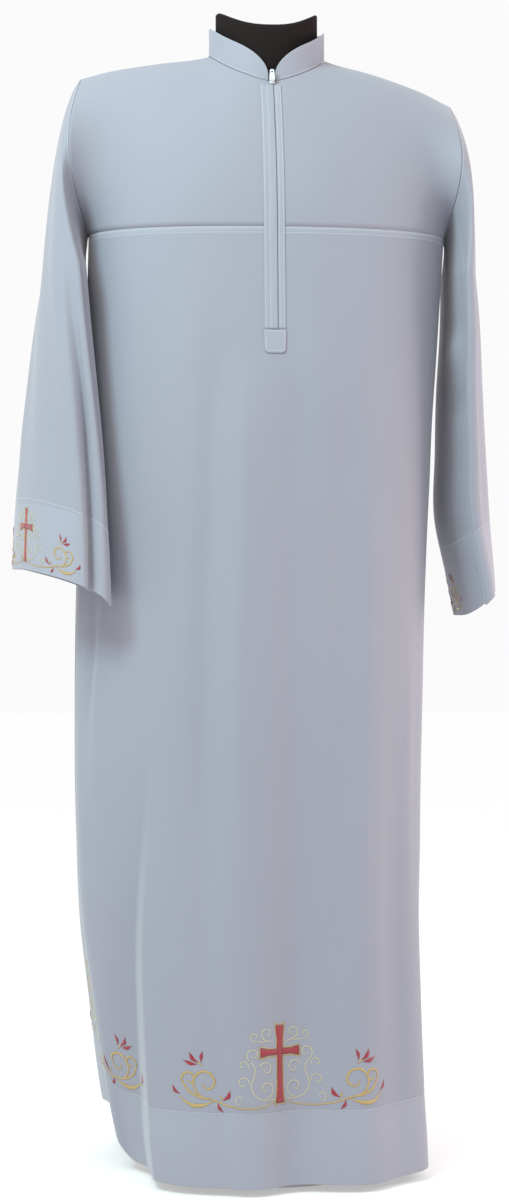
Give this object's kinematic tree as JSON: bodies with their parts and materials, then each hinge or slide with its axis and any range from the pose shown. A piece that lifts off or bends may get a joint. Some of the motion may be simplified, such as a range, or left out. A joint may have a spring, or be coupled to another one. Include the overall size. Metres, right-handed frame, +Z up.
{
  "type": "alb on a limbless dress form",
  "caption": "Long white tunic with a stand collar, yoke, fly-covered zip, wide sleeves and deep hems, worn by a dark limbless torso form on a pole and a round foot.",
  "frame": {"origin": "centre of the underside of the stand's foot, on the floor", "axes": "+Z up, the wearer faces -Y, +X to the wearer's left"},
  "size_m": [0.6269, 0.4284, 1.4869],
  "materials": {
    "cloth": "matt plain weave",
    "trim": "matt plain weave, doubled",
    "zip_tape": "woven tape",
    "zip_metal": "white enamel",
    "form": "matt, jersey covered",
    "stand": "brushed"
  },
  "bodies": {
    "alb_on_form": {"front": "cloth", "back": "cloth", "yoke_front_right": "cloth", "yoke_front_left": "cloth", "yoke_back": "cloth", "sleeve_right": "cloth", "sleeve_left": "cloth", "collar": "trim", "placket_fly": "trim", "placket_strip": "trim", "placket_tab": "trim", "zip_tape": "zip_tape", "zip_slider": "zip_metal", "form": "form", "pole": "stand", "foot": "stand"},
    "pull": {"zip_pull": "zip_metal"}
  },
  "joints": [
    {"name": "zip_pull_flip", "type": "hinge", "parent": "alb_on_form", "child": "pull", "pos_m": [0, -0.07848, 1.3878], "axis": [1, 0, 0], "range_deg": [0, 160]}
  ]
}
